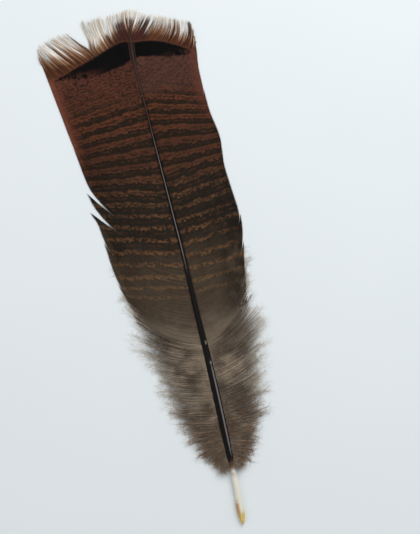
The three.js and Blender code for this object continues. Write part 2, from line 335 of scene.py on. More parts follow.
# Floor and light
stageValues = {"floorColour": (233, 240, 242), "floorShade": 0.97, "worldColour": (235, 235, 237),
               "worldStrength": 0.64, "windowPower": 3.0, "fillPower": 0.5, "lampSize": 0.45,
               "windowPlace": (0.28, 0.44, 0.5), "fillPlace": (-0.5, 0.2, 0.7)}


def addStage(values):
    bpy.ops.object.select_all(action="DESELECT")
    bpy.ops.mesh.primitive_plane_add(size=6, location=(0, 0, 0))
    floor = bpy.context.object
    floor.name = "floor"
    material, tree, shader = newMaterial("paleCard", 0.85, 0.2)
    grain = noise(tree, inMillimetres(tree), 0.02, 3)
    colour = fromByte(*values["floorColour"])
    shade = [c * values["floorShade"] for c in colour[:3]] + [1]
    tree.links.new(mixColours(tree, grain, shade, colour), shader.inputs["Base Color"])
    floor.data.materials.append(material)
    world = bpy.data.worlds.new("softLight")
    bpy.context.scene.world = world
    world.use_nodes = True
    background = world.node_tree.nodes["Background"]
    background.inputs["Color"].default_value = fromByte(*values["worldColour"])
    background.inputs["Strength"].default_value = values["worldStrength"]
    addLamp("window", values["windowPlace"], values["windowPower"], values["lampSize"])
    addLamp("fill", values["fillPlace"], values["fillPower"], values["lampSize"])


def addLamp(name, place, power, size):
    data = bpy.data.lights.new(name, "AREA")
    data.energy, data.size, data.shape = power, size, "DISK"
    lamp = bpy.data.objects.new(name, data)
    bpy.context.scene.collection.objects.link(lamp)
    lamp.location = place
    lamp.rotation_euler = (-lamp.location).to_track_quat("-Z", "Y").to_euler()


addStage(stageValues)
print("stage set")

# Shaft and quill
shaftValues = {"sides": 24, "length": 184, "rings": 60, "spread": 1.2, "roundEnd": 1.2, "flatBelow": 0.86,
               "smoothTo": 50}
# The flank and crown colours are painted highlights on the horn
shaftColours = {
    "black": (4, 3, 3), "blackLight": (17, 13, 13), "brown": (40, 29, 25), "brownLight": (78, 60, 52),
    "flank": (132, 126, 127), "crown": (126, 122, 120), "quill": (212, 208, 188),
    "quillLight": (244, 242, 230), "tan": (96, 70, 54), "tanLight": (150, 122, 98), "end": (188, 150, 66),
    "endLight": (238, 222, 136), "endPatch": (186, 126, 56), "fleck": (138, 126, 112),
}


def makeShaft(values):
    # A disc is drawn out ring by ring, each ring moved and scaled to the shaft's line and thickness.
    bpy.ops.object.select_all(action="DESELECT")
    bpy.ops.mesh.primitive_circle_add(vertices=values["sides"], radius=1, fill_type="NGON")
    shaft = startEdit("shaft")
    bpy.ops.object.mode_set(mode="OBJECT")
    for corner in shaft.data.vertices:
        corner.co = (-corner.co.x, 0, corner.co.y)
    bpy.ops.object.mode_set(mode="EDIT")
    bpy.ops.mesh.select_all(action="SELECT")
    for ring in range(values["rings"]):
        bpy.ops.mesh.extrude_region_move(TRANSFORM_OT_translate={"value": (0, 1, 0)})
    bpy.ops.object.mode_set(mode="OBJECT")
    shape = np.array([v.co for v in shaft.data.vertices])
    reach = [values["length"] * (i / values["rings"]) ** values["spread"] for i in range(values["rings"] + 1)]
    y = np.array(reach)[np.rint(shape[:, 1]).astype(int)]
    radius = along(shaftRadius, y)
    closing = np.sqrt(np.clip(y / values["roundEnd"], 0.05, 1))
    high = np.where(shape[:, 2] < 0, values["flatBelow"], 1)
    x = along(shaftSway, y) + shape[:, 0] * radius * closing
    z = np.maximum(0.02, along(shaftHeight, y) + shape[:, 2] * radius * high * closing)
    places = np.stack([x, y, z], -1)
    shaft.data.vertices.foreach_set("co", toFrame(places).astype(np.float32).ravel())
    shaft.data.update()
    bpy.ops.object.mode_set(mode="EDIT")
    bpy.ops.mesh.select_all(action="SELECT")
    bpy.ops.mesh.normals_make_consistent(inside=False)
    bpy.ops.object.mode_set(mode="OBJECT")
    bpy.ops.object.shade_smooth_by_angle(angle=math.radians(values["smoothTo"]))
    addMarks(shaft, "spot", shape[:, 0], y, shape[:, 2])
    return shaft


def shaftMaterial(colours):
    material, tree, shader = newMaterial("horn", 0.3, 0.16)
    paint = fromBytes(colours)
    across, y = readMarks(tree, "spot")[:2]
    place = inMillimetres(tree)
    streaks = noise(tree, stretched(tree, place, 2.2, 0.12), 1.0, 3)
    cloud = noise(tree, place, 0.5, 3)
    wander = addScaled(tree, cloud, 6.0, y)

    # Black horn, browner at the tip, with a painted highlight on its flank low down and a painted highlight
    # along its crown in the middle
    dark = mixColours(tree, streaks, paint["black"], paint["blackLight"])
    browner = mixColours(tree, streaks, paint["brown"], paint["brownLight"])
    dark = mixColours(tree, ramp(tree, y, 140, 168), dark, browner)
    paintedFlankHighlight = between(tree, across, 0.2, 0.42, 0.55, 0.78)
    paintedFlankHighlight = product(tree, paintedFlankHighlight, between(tree, wander, 27, 33, 58, 66))
    dark = layOver(tree, dark, paintedFlankHighlight, 0.75, paint["flank"])
    crown = between(tree, across, -0.4, -0.15, 0.1, 0.35)
    crown = product(tree, crown, between(tree, wander, 94, 106, 136, 160))
    dark = layOver(tree, dark, crown, 0.75, paint["crown"])

    # The bare quill: cream, tan where it turns dark, ochre at its end
    quill = mixColours(tree, streaks, paint["quill"], paint["quillLight"])
    tan = mixColours(tree, streaks, paint["tan"], paint["tanLight"])
    colour = mixColours(tree, ramp(tree, wander, 20, 24.5), quill, tan)
    colour = mixColours(tree, ramp(tree, wander, 23, 28), colour, dark)
    yellow = mixColours(tree, cloud, paint["end"], paint["endLight"])
    colour = mixColours(tree, ramp(tree, wander, 9.5, 5.5), colour, yellow)
    patch = product(tree, ramp(tree, across, 0.1, -0.6), between(tree, wander, 5.0, 7.6, 10.2, 12.8))
    colour = layOver(tree, colour, patch, 0.85, paint["endPatch"])
    flecks = maths(tree, "MAXIMUM", between(tree, y, 66.3, 67.0, 67.5, 68.2),
                   between(tree, y, 59.2, 59.7, 60.0, 60.5))
    flecks = product(tree, flecks, between(tree, across, 0.1, 0.35, 0.7, 0.95))
    colour = layOver(tree, colour, flecks, 0.6, paint["fleck"])
    tree.links.new(colour, shader.inputs["Base Color"])
    dull = maths(tree, "MAXIMUM", between(tree, wander, 62, 70, 88, 100), ramp(tree, y, 150, 165))
    tree.links.new(addScaled(tree, dull, 0.3, 0.3), shader.inputs["Roughness"])
    addBump(tree, shader, streaks, 0.25, 0.08)
    return material


shaft = makeShaft(shaftValues)
finishPiece(shaft, shaftMaterial(shaftColours))
print("shaft and quill made")


# Barb lines
def barbLines(table, side, roots, shares):  # roots counted first, steps second; x and y in millimetres
    tipX, tipY, leave, arrive = [along(table, roots, column) for column in (1, 2, 3, 4)]
    root = np.stack([along(shaftSway, roots) + side * 0.25 * along(shaftRadius, roots), roots], -1)
    tip = np.stack([tipX, tipY], -1)
    reach = (barbReach * np.linalg.norm(tip - root, axis=-1))[:, None]
    leave, arrive = np.radians(leave), np.radians(arrive)
    first = root + reach * np.stack([side * np.sin(leave), np.cos(leave)], -1)
    second = tip - reach * np.stack([side * np.sin(arrive), np.cos(arrive)], -1)
    t = shares[..., None]
    points = [p[:, None] for p in (root, first, second, tip)]
    weights = [(1 - t) ** 3, 3 * t * (1 - t) ** 2, 3 * t ** 2 * (1 - t), t ** 3]
    return sum(w * p for w, p in zip(weights, points))


def vaneHeight(roots, shares):  # arched from the shaft down to the rim
    rootHeight = along(shaftHeight, roots) + 0.2 * along(shaftRadius, roots) - 0.22
    drop = np.maximum(0, 1 - (shares / rimStart) ** 2)
    return rimHeight + (rootHeight[:, None] - rimHeight) * drop


# Vanes: every barb is a thin ribbon with a ridge, edge to edge with the next, and free past the fringe line.
vaneValues = {"from": 65.8, "closerFrom": 138, "closerTo": 152, "to": 183, "pitch": 0.3, "fringePitch": 0.16,
              "joined": 22, "free": 12, "ridge": 0.05, "keel": 0.06, "overlap": 1.16, "hairHalf": 0.12,
              "clumpLeast": 4, "clumpMost": 9, "clumpPull": 0.72, "waver": 0.16, "lift": 0.7, "softRim": 0.16,
              "closedTo": 0.86, "fringeBefore": 0.97, "seed": 11}

# Where the rim is split: place on the shaft, how far back the barbs above it end, over how many
# millimetres of shaft, and how wide the split gapes.
rimSplits = {-1: [[103.6, 0.30, 2.8, 0.9], [97.6, 0.26, 2.0, 0.8], [73.8, 0.05, 1.6, 0.2],
                  [85.5, 0.035, 1.5, 0.2], [119, 0.03, 1.2, 0.12]],
             1: [[118, 0.03, 1.2, 0.15], [92, 0.05, 1.8, 0.2], [141, 0.025, 1.0, 0.12],
                 [81, 0.06, 2.0, 0.25]]}

# Where the fringe parts: place on the shaft and how wide the tips stand open there.
fringeSplits = {-1: [[151.5, 0.7], [154.4, 0.5], [158.2, 0.5], [164.6, 0.6], [167.4, 0.4], [171.2, 2.0],
                     [174.2, 0.5], [176.4, 0.6], [179.6, 0.2]],
                1: [[159.5, 0.5], [163.5, 0.5], [167.2, 0.6], [170.4, 0.5], [173.2, 0.9], [175.6, 0.6],
                    [177.8, 0.6], [180.4, 0.2]]}

# Maroon tips: from one x to another, and the share of the barbs between them that are maroon.
maroonTips = {-1: [[-6.4, -3.2, 0.95], [-2.0, -0.6, 1.0], [-24.9, -24.0, 1.0], [-33.4, -32.8, 0.6]],
              1: [[0.0, 2.4, 0.9], [4.4, 8.4, 0.95], [14.7, 15.0, 1.0], [19.2, 20.3, 1.0]]}

# Screen colours; where a name has a second one, a pattern mixes the two.
vaneColours = {
    "plain": (62, 52, 41), "plainLight": (92, 79, 65), "paler": (92, 80, 67), "palerLight": (130, 116, 100),
    "base": (128, 114, 97), "upperBar": (110, 61, 40), "upperBarDull": (80, 51, 35),
    "middleBar": (97, 57, 40), "middleBarDull": (72, 46, 34), "lowBar": (58, 42, 29),
    "lowBarLight": (120, 84, 57), "lowestBar": (112, 84, 57), "dark": (20, 17, 14),
    "darkLight": (54, 41, 31), "lowDark": (18, 16, 13), "lowDarkLight": (58, 48, 39), "gleam": (104, 62, 42),
    "maroon": (92, 60, 51), "maroonLeft": (92, 53, 40), "maroonDull": (72, 48, 38), "maze": (38, 30, 23),
    "rim": (112, 66, 52), "rimLeft": (130, 75, 58), "rimMaze": (60, 40, 32), "blotchesAndRimShade": (26, 22, 19),
    "dull": (74, 62, 49), "lowest": (40, 32, 26), "strip": (50, 37, 33), "band": (3, 3, 4),
    "bandLight": (15, 13, 14), "border": (66, 38, 24), "borderLight": (104, 64, 42),
    "cream": (222, 206, 184), "creamToHighlight": (255, 253, 249), "tan": (112, 76, 52),
    "tanLight": (172, 136, 106), "atShaft": (62, 36, 30), "maroonTip": (70, 38, 33),
    "underside": (104, 94, 84),
}


def joinedTable(table):  # the barb lines as they were before the fringe parted
    return [row for row in table if abs(row[0] - partingPlace) > 1]


def fringeStart(table, side, roots):  # the share of each barb at which it crosses the fringe line
    first, last, count = 0.3, 0.975, 136
    shares = np.tile(np.linspace(first, last, count), (len(roots), 1))
    lines = barbLines(joinedTable(table), side, roots, shares)
    below = lines[..., 1] < along(fringeLine[side], lines[..., 0])
    return shares[0, np.maximum(0, below.sum(1) - 1)]


def rootPlaces(values, side):  # the barbs stand closer together where they end in the fringe
    places = [values["from"]]
    while places[-1] < values["to"]:
        closer = smoothStep(places[-1], values["closerFrom"], values["closerTo"])
        places.append(places[-1] + values["pitch"] + (values["fringePitch"] - values["pitch"]) * closer)
    roots = np.array(places)
    return roots[np.abs(roots - partingPlace) > 0.1] if side < 0 else roots


def clumpOf(count, least, most, random):  # the middle barb of the clump that each barb belongs to
    middle = np.zeros(count, int)
    start = 0
    while start < count:
        size = random.integers(least, most + 1)
        middle[start:start + size] = min(count - 1, start + size // 2)
        start += size
    return middle


def drawApart(table, side, roots, shares, tipward):  # how far barb lines draw apart per millimetre of shaft
    near = 0.05
    apart = barbLines(table, side, roots + near, shares) - barbLines(table, side, roots - near, shares)
    return np.abs((apart * tipward).sum(-1)) / (2 * near)


def unitWay(lines):
    way = np.gradient(lines, axis=1)
    return way / np.linalg.norm(way, axis=-1, keepdims=True)


def turned(way):  # a quarter turn to the left, seen from above
    return np.stack([-way[..., 1], way[..., 0]], -1)


def openSplits(lines, side, roots, shares, inFringe, tipward):  # pushes the barbs apart at each split
    for place, back, reach, gape in rimSplits[side]:
        apart = roots[:, None] - place
        push = gape * np.where(apart > 0, 0.75, -0.25) * np.exp(-np.abs(apart) / 2.2)
        push = push * smoothStep(shares, 0.85 - 1.1 * back, 1)
        lines += push[..., None] * tipward
    for place, gape in fringeSplits[side]:
        apart = roots[:, None] - place
        push = gape / 2 * np.sign(apart) * np.exp(-np.abs(apart) / 1.0) * inFringe
        lines += push[..., None] * tipward


def makeVane(name, table, side, values, strand):
    random = np.random.default_rng(values["seed"] + side)
    roots = rootPlaces(values, side)
    count = len(roots)
    joinedSteps, freeSteps = values["joined"], values["free"]
    step = np.arange(joinedSteps + freeSteps + 1)
    free = np.maximum(0, (step - joinedSteps) / freeSteps)[None, :]
    joinedTo = fringeStart(table, side, roots)[:, None]
    fringe = (joinedTo < values["fringeBefore"]).astype(float)
    joinedTo = np.where(fringe > 0, joinedTo, values["closedTo"])
    ends = np.ones((count, 1))
    for place, back, reach, gape in rimSplits[side]:
        past = roots[:, None] - place
        ends -= np.where(past > 0, back * np.exp(-past / reach), 0)
    ends += (0.03 + random.uniform(0, 0.012, (count, 1))) * fringe - random.uniform(0, 0.012, (count, 1))
    ends -= (values["softRim"] * smoothStep(roots, 76, 66) * random.uniform(0.5, 1.4, count))[:, None]
    shares = np.where(free > 0, joinedTo + (1 - joinedTo) * free, joinedTo * step / joinedSteps) * ends

    # The lines: parted past the fringe line, pushed open at the splits, drawn together in clumps
    whole = barbLines(joinedTable(table), side, roots, shares)
    parted = barbLines(table, side, roots, shares)
    lines = whole + (parted - whole) * (smoothStep(free, 0, 0.4) * fringe)[..., None]
    tipward = turned(unitWay(lines)) * side
    spacing = np.diff(roots)
    spacing = np.maximum(np.r_[spacing[0], spacing], np.r_[spacing, spacing[-1]])[:, None]
    half = drawApart(joinedTable(table), side, roots, shares, tipward) * spacing / 2 * values["overlap"]
    openSplits(lines, side, roots, shares, smoothStep(free, 0, 0.9) * fringe, tipward)
    clump = clumpOf(count, values["clumpLeast"], values["clumpMost"], random)
    pull = (values["clumpPull"] * random.uniform(0.2, 1.2, count)[clump])[:, None] * free ** 1.2 * fringe
    sameSide = np.abs(lines[clump, -1, 0] - lines[:, -1, 0]) < 2.5
    lines += (lines[clump] - lines) * (pull * sameSide[:, None])[..., None]
    waver = values["waver"] * random.normal(size=(count, 1)) * free ** 2 * fringe
    waver += 0.15 * np.sin(free * 5 + random.uniform(0, 6.3, (count, 1))) * free * fringe
    lines += waver[..., None] * tipward
    short = random.uniform(0, 0.22, (count, 1)) ** 1.5
    short = (short + random.uniform(0, 0.06, count)[clump][:, None]) * fringe
    neck = lines[:, joinedSteps:joinedSteps + 1]
    lines += (neck - lines) * (short * free)[..., None]

    # Widths and heights: a ribbon as wide as its place, then a hair where it runs free
    hair = values["hairHalf"] * random.uniform(0.75, 1.3, (count, 1)) * (1 - 0.5 * free ** 2)
    narrowing = smoothStep(free, 0.0, 0.6) * fringe
    half = half * (1 - narrowing) + hair * narrowing
    half *= np.where(fringe > 0, 1, 1 - 0.6 * smoothStep(free, 0.5, 1))
    height = vaneHeight(roots, shares) + random.normal(0, 0.02, (count, 1))
    height += values["lift"] * random.uniform(0, 1, (count, 1)) * free ** 1.5 * fringe
    middle = np.concatenate([lines, height[..., None]], -1)
    sideways = np.concatenate([turned(unitWay(lines)) * half[..., None], 0 * half[..., None]], -1)
    upright = np.minimum(1, half / 0.13)[..., None] * [0, 0, 1]
    vane, places, row, shape = layCopies(name, strand, middle, sideways, values["ridge"] * upright,
                                         -values["keel"] * upright)

    # Marks for the colours: which barbs are maroon, and the tone of each clump, lightest at its middle barb:
    # partly the barbs' own tone, partly painted highlight
    chance = np.full(count, 0.02)
    for left, right, share in maroonTips[side]:
        chance[(lines[:, -1, 0] > left) & (lines[:, -1, 0] < right)] = share
    dark = np.maximum(random.uniform(size=count)[clump] < chance, 0.7 * (random.uniform(size=count) < 0.04))
    fromMiddle = np.abs(np.arange(count) - clump) / (values["clumpMost"] / 2)
    toneAndHighlight = random.uniform(0, 1, count)[clump] * (1 - 0.55 * np.minimum(1, fromMiddle) ** 2)
    markVane(vane, side, places, shares[:, row], shape, random)
    addMarks(vane, "fringe", dark[:, None], toneAndHighlight[:, None], roots[:, None] + 0 * places[..., 0])
    return vane


def markVane(vane, side, places, shares, shape, random):
    x, y = places[..., 0], places[..., 1]
    away = np.abs(x - along(shaftSway, y))
    climb = along(barClimb[side], y)
    bars = along(barCount[side], y - climb * np.maximum(0, away - 3))
    tint = random.uniform(0, 1, (len(x), 1))
    under = np.clip(-shape[:, 1], 0, 1)[None, :]
    addMarks(vane, "bars", bars, y - along(bandBottom, x), along(bandTop, x) - y)
    addMarks(vane, "spot", side * away, y, shares)
    addMarks(vane, "barb", tint, y - along(creamLine, x), under)


def vaneMaterial(colours):  # places along the feather are in millimetres from the end of the quill
    material, tree, shader = newMaterial("barredVane", 0.65, 0.08)
    paint = fromBytes(colours)
    bars, overBand, underBand = readMarks(tree, "bars")
    away, y, share = readMarks(tree, "spot")
    tint, pastCream, under = readMarks(tree, "barb")
    darkBarb, toneAndHighlight, root = readMarks(tree, "fringe")
    place = inMillimetres(tree)
    distance = maths(tree, "ABSOLUTE", away)
    broad = noise(tree, place, 0.16, 2)
    ragged = noise(tree, place, 0.5, 3, 0.6)
    fine = noise(tree, place, 1.5, 3, 0.6, 0.8)
    bead = noise(tree, place, 1.0, 1)
    comb = combStreaks(tree, root, away)
    jitter = centred(tree, tint)
    maze = mazeLines(tree, place, bars, away)
    leftwards = ramp(tree, away, 3, -3)

    # Plain grey brown below the bars, paler and softer towards the down
    plain = mixColours(tree, ragged, paint["plain"], paint["plainLight"])
    paler = mixColours(tree, ragged, paint["paler"], paint["palerLight"])
    plain = mixColours(tree, ramp(tree, addScaled(tree, broad, 12.0, y), 88, 74), plain, paler)
    plain = mixColours(tree, ramp(tree, root, 73, 66, 0.0, 0.6), plain, paint["base"])
    wander = addScaled(tree, centred(tree, broad), 14.0, y)

    # Bars of rust on dark brown, lower down thin, tan and broken into dots
    low = ramp(tree, y, 138, 116)
    shifted = bars
    for pattern, amount in ((broad, 0.5), (ragged, 0.5), (comb, 0.16), (tint, 0.06)):
        shifted = addScaled(tree, centred(tree, pattern), amount, shifted)
    wave = maths(tree, "COSINE", product(tree, shifted, 2 * math.pi))
    level = addScaled(tree, low, -0.55, wave)
    level = addScaled(tree, ramp(tree, y, 148, 160), 0.4, level)
    level = addScaled(tree, centred(tree, bead), 1.6, level)
    rust = ramp(tree, level, -0.3, 0.45)
    dots = ramp(tree, bead, 0.31, 0.55)
    rust = product(tree, rust, mixValue(tree, low, 1.0, dots))
    upperBar = mixColours(tree, broad, paint["upperBar"], paint["upperBarDull"])
    middleBar = mixColours(tree, broad, paint["middleBar"], paint["middleBarDull"])
    lightBar = mixColours(tree, ramp(tree, y, 150, 140), upperBar, middleBar)
    lowBar = mixColours(tree, bead, paint["lowBar"], paint["lowBarLight"])
    lightBar = mixColours(tree, low, lightBar, lowBar)
    lightBar = mixColours(tree, ramp(tree, y, 104, 92), lightBar, paint["lowestBar"])
    darkBar = mixColours(tree, fine, paint["dark"], paint["darkLight"])
    darkBar = mixColours(tree, low, darkBar, mixColours(tree, fine, paint["lowDark"], paint["lowDarkLight"]))
    darkBar = mixColours(tree, ramp(tree, wander, 110, 92, 0.0, 0.75), darkBar, plain)

    # A dark thread in each light bar, and a light one in each dark bar
    inner = product(tree, ramp(tree, wave, 0.7, 0.96), ramp(tree, ragged, 0.44, 0.56))
    inner = product(tree, inner, ramp(tree, y, 108, 122))
    lightBar = layOver(tree, lightBar, inner, 0.7, darkBar)
    gleam = product(tree, ramp(tree, wave, -0.8, -0.97), ramp(tree, ragged, 0.52, 0.42))
    darkBar = layOver(tree, darkBar, gleam, 0.3, paint["gleam"])
    broken = product(tree, maze, ramp(tree, y, 144, 158, 0.3, 0.75))
    brokenLight = mixColours(tree, broken, lightBar, darkBar)
    colour = mixColours(tree, rust, darkBar, brokenLight)
    colour = mixColours(tree, ramp(tree, wander, 96, 88, 0.0, 0.35), colour, plain)
    colour = mixColours(tree, ramp(tree, wander, 89, 80), colour, plain)

    # Maroon with a maze of dark lines above the bars, plain rust at the rims
    maroon = mixColours(tree, leftwards, paint["maroon"], paint["maroonLeft"])
    maroon = mixColours(tree, ramp(tree, broad, 0.35, 0.65, 0.0, 0.3), maroon, paint["maroonDull"])
    mazeDepth = addScaled(tree, leftwards, 0.3, 0.5)
    maroon = mixColours(tree, product(tree, maze, mazeDepth), maroon, paint["maze"])
    colour = mixColours(tree, ramp(tree, wander, 153.5, 164), colour, maroon)
    rimPlace = addScaled(tree, leftwards, 8.0, y)
    rim = product(tree, ramp(tree, share, 0.62, 0.9), ramp(tree, rimPlace, 142, 160))
    rimColour = mixColours(tree, leftwards, paint["rim"], paint["rimLeft"])
    rimColour = layOver(tree, rimColour, maze, 0.25, paint["rimMaze"])
    colour = layOver(tree, colour, rim, 0.85, rimColour)
    # The right vane's outer part darkened in blotches, and painted shade along both rims in the middle of the
    # vane
    blotchesAndRimShade = product(tree, ramp(tree, away, 8, 16), between(tree, wander, 70, 80, 112, 130))
    blotchesAndRimShade = product(tree, blotchesAndRimShade, ramp(tree, noise(tree, place, 0.25, 3), 0.36, 0.56))
    rimShade = product(tree, ramp(tree, share, 0.86, 0.97), between(tree, y, 114, 122, 134, 144))
    blotchesAndRimShade = maths(tree, "MAXIMUM", blotchesAndRimShade, rimShade)
    colour = layOver(tree, colour, blotchesAndRimShade, 0.6, paint["blotchesAndRimShade"])
    dull = product(tree, ramp(tree, share, 0.78, 0.92), between(tree, wander, 84, 92, 110, 120))
    dull = product(tree, dull, leftwards)
    colour = layOver(tree, colour, dull, 0.6, paint["dull"])
    # Painted shade: the lowest barbs darker along the vane's lower edge, over the down
    lowest = product(tree, ramp(tree, root, 68.2, 66.2), ramp(tree, distance, 4, 10))
    colour = layOver(tree, colour, lowest, 0.75, paint["lowest"])

    # The dark band, open at the shaft and mottled towards the rims, with a rust border over it
    loose = addScaled(tree, centred(tree, ragged), 2.4, product(tree, jitter, 0.5))
    above = ramp(tree, maths(tree, "ADD", overBand, loose), -0.3, 0.5)
    below = ramp(tree, addScaled(tree, jitter, 0.5, underBand), -0.2, 0.4)
    band = product(tree, above, below)
    mottle = product(tree, ramp(tree, distance, 8, 18), ramp(tree, overBand, 3.4, 0.4))
    mottle = product(tree, mottle, maths(tree, "SUBTRACT", 1.0, maze))
    band = addScaled(tree, product(tree, mottle, -0.5), band, band)
    strip = mixColours(tree, ramp(tree, y, 168, 173), colour, paint["strip"])
    colour = mixColours(tree, ramp(tree, distance, 1.3, 0.7), colour, strip)
    band = product(tree, band, ramp(tree, distance, 0.8, 1.3))
    colour = mixColours(tree, band, colour, mixColours(tree, ragged, paint["band"], paint["bandLight"]))
    border = mixColours(tree, tint, paint["border"], paint["borderLight"])
    bordered = product(tree, ramp(tree, underBand, 0.3, -0.5), ramp(tree, y, 170.5, 173))
    colour = mixColours(tree, bordered, colour, border)
    outside = ramp(tree, underBand, 0.5, -0.3)

    # The fringe: tan, then cream up to white, in streaks partly of its own tone and partly of painted
    # highlight, with maroon barbs among them
    spread = addScaled(tree, jitter, 1.4, pastCream)
    swing = product(tree, maths(tree, "SUBTRACT", toneAndHighlight, 0.3), ramp(tree, underBand, -0.5, -4.0, 0.0, 4.6))
    spread = maths(tree, "ADD", swing, spread)
    cream = mixColours(tree, toneAndHighlight, paint["cream"], paint["creamToHighlight"])
    tan = mixColours(tree, tint, paint["tan"], paint["tanLight"])
    tanShare = product(tree, ramp(tree, spread, -5.0, -1.0), outside)
    colour = mixColours(tree, tanShare, colour, tan)
    creamShare = product(tree, ramp(tree, spread, -1.6, 2.6), outside)
    colour = mixColours(tree, creamShare, colour, cream)
    atShaft = product(tree, between(tree, away, -7.5, -4.5, 5.0, 7.5), ramp(tree, underBand, -5.5, -3.0))
    atShaft = product(tree, atShaft, ramp(tree, underBand, 0.0, -1.0))
    colour = layOver(tree, colour, atShaft, 0.75, paint["atShaft"])
    darkTo = maths(tree, "SUBTRACT", pastCream, ramp(tree, distance, 11, 16, 0.0, 4.5))
    maroonBarb = product(tree, darkBarb, ramp(tree, darkTo, 2.2, -0.4))
    maroonBarb = product(tree, maroonBarb, ramp(tree, underBand, 0.0, -1.5))
    colour = layOver(tree, colour, maroonBarb, 0.9, paint["maroonTip"])

    # Each barb a little lighter or darker, and the underside duller
    light = addScaled(tree, tint, 0.26, 0.88)
    light = addScaled(tree, centred(tree, comb), 0.5, light)
    lights = addNode(tree, "CombineColor", {0: light, 1: light, 2: light}).outputs[0]
    colour = mixColours(tree, 1.0, colour, lights, "MULTIPLY")
    colour = mixColours(tree, under, colour, mixColours(tree, 0.5, colour, paint["underside"]))
    tree.links.new(colour, shader.inputs["Base Color"])
    addBump(tree, shader, noise(tree, place, 5.0, 2), 0.2, 0.03)
    return material


def combStreaks(tree, root, away):  # streaks that run along the barbs
    place = addNode(tree, "CombineXYZ", {0: product(tree, root, 1.3), 1: product(tree, away, 0.14)})
    return noise(tree, place.outputs[0], 1.0, 2)


def mazeLines(tree, place, bars, away):  # winding dark lines, in some spots across the vane, in others along
    bend = centred(tree, noise(tree, place, 0.4, 1))
    windings = []
    for line, pitch, swing in ((bars, 3.0, 2.4), (away, 0.5, 2.8)):
        winding = addScaled(tree, line, pitch, product(tree, bend, swing))
        windings.append(maths(tree, "COSINE", product(tree, winding, 2 * math.pi)))
    spots = ramp(tree, noise(tree, place, 0.42, 1), 0.48, 0.62)
    lines = ramp(tree, mixValue(tree, spots, *windings), -0.3, 0.7)
    return product(tree, lines, ramp(tree, noise(tree, place, 0.9, 2), 0.32, 0.56, 0.25, 1.0))


vaneStrand = modelStrand(vaneValues["joined"] + vaneValues["free"], sides=4)
vaneFinish = vaneMaterial(vaneColours)
for name, table, side in (("leftVane", leftBarbs, -1), ("rightVane", rightBarbs, 1)):
    finishPiece(makeVane(name, table, side, vaneValues, vaneStrand), vaneFinish)
print("vanes made")

# Down: soft barbs, flat and close at the shaft, loose at their ends, with fine hairs all along them. Those
# past closeTo lie under the vane: hairyUpper is the share of them that have hairs, bareUpper the share of
# each that has none, and upperTop how high those hairs reach.
downValues = {"from": 22.5, "to": 80, "closeTo": 65.5, "pitch": 0.24, "steps": 22, "seed": 23, "half": 0.14,
              "thick": 0.03, "loft": 1.5, "tipVaries": 1.5, "shortest": 0.68, "overlap": 1.5, "lowest": 0.1,
              "hairs": 78, "hairSteps": 2, "hairLong": 2.7, "hairThick": 0.03, "hairAngle": 40,
              "hairSwing": 24, "hairyUpper": 0.5, "bareUpper": 0.78, "upperTop": 0.19}
downColours = {
    "shade": (102, 88, 74), "light": (176, 159, 139), "barb": (104, 88, 74), "shadeBesideShaft": (58, 46, 37),
    "nearVane": (84, 73, 60), "rust": (84, 62, 46), "rustLight": (164, 134, 110), "tip": (236, 228, 216),
    "brownTip": (168, 142, 116), "hair": (190, 178, 160),
}


def makeDown(name, table, side, values, strand):
    random = np.random.default_rng(values["seed"] + side)
    roots = np.arange(values["from"], values["to"], values["pitch"])
    count, steps = len(roots), values["steps"]
    ends = random.uniform(values["shortest"], 1.0, (count, 1))
    ends *= (1 - 0.45 * smoothStep(roots, 27, 22))[:, None]
    shares = np.linspace(0, 1, steps + 1) * ends
    lines = barbLines(table, side, roots, shares)
    gap = np.abs((np.gradient(lines, axis=0) * turned(unitWay(lines))).sum(-1))
    spread = random.normal(0, values["tipVaries"], (count, 2)) * [0.7, 1.0]
    lines = lines + spread[:, None] * (shares ** 2)[..., None]
    phase = random.uniform(0, 6.3, (count, 1))
    waves = random.uniform(5, 11, (count, 1))
    lines += (0.3 * np.sin(phase + waves * shares) * shares)[..., None] * turned(unitWay(lines))
    layer = random.uniform(-0.5, 0.5, (count, 1))
    loft = values["loft"] * np.sin(np.pi * np.minimum(1, 0.05 + shares)) ** 0.8
    height = vaneHeight(roots, shares) + (0.2 + layer * shares ** 0.7) * loft
    closeTo = values["closeTo"]
    upper = smoothStep(roots, closeTo, closeTo + 4)[:, None]
    height += 0.1 * np.sin(phase * 2 + 7 * shares) * shares
    underVane = 0.06 + 0.85 * (vaneHeight(roots, shares) - rimHeight)
    height = np.maximum(values["lowest"], height) * (1 - upper) + underVane * upper
    middle = np.concatenate([lines, height[..., None]], -1)
    strandHalf = values["half"] * (1 - 0.7 * shares ** 1.5) * random.uniform(0.7, 1.2, (count, 1))
    closed = 1 - smoothStep(shares + random.uniform(-0.12, 0.12, (count, 1)), 0.5, 0.9)
    closed *= (smoothStep(roots, 22, 27) - smoothStep(roots, closeTo, closeTo + 2))[:, None]
    strandHalf *= 1 - 0.7 * smoothStep(roots, closeTo, closeTo + 8)[:, None]
    half = strandHalf * (1 - closed) + gap / 2 * values["overlap"] * closed
    roll = random.normal(0, 0.07, (count, 1)) * half
    sideways = np.concatenate([turned(unitWay(lines)) * half[..., None], roll[..., None]], -1)
    up = np.zeros_like(middle)
    up[..., 2] = values["thick"]
    down, places, row, shape = layCopies(name, strand, middle, sideways, up, -up)
    markDown(down, places, shares[:, row], random.uniform(0, 1, (count, 1)), 0)
    kept = random.uniform(size=count) < 1 - upper[:, 0] * (1 - values["hairyUpper"])
    return down, middle[kept], values["bareUpper"] * upper[kept, 0]


def markDown(piece, places, shares, tint, hair):
    x, y = places[..., 0], places[..., 1]
    addMarks(piece, "spot", x - along(shaftSway, y), y, shares)
    addMarks(piece, "barb", tint, hair, 0 * x)


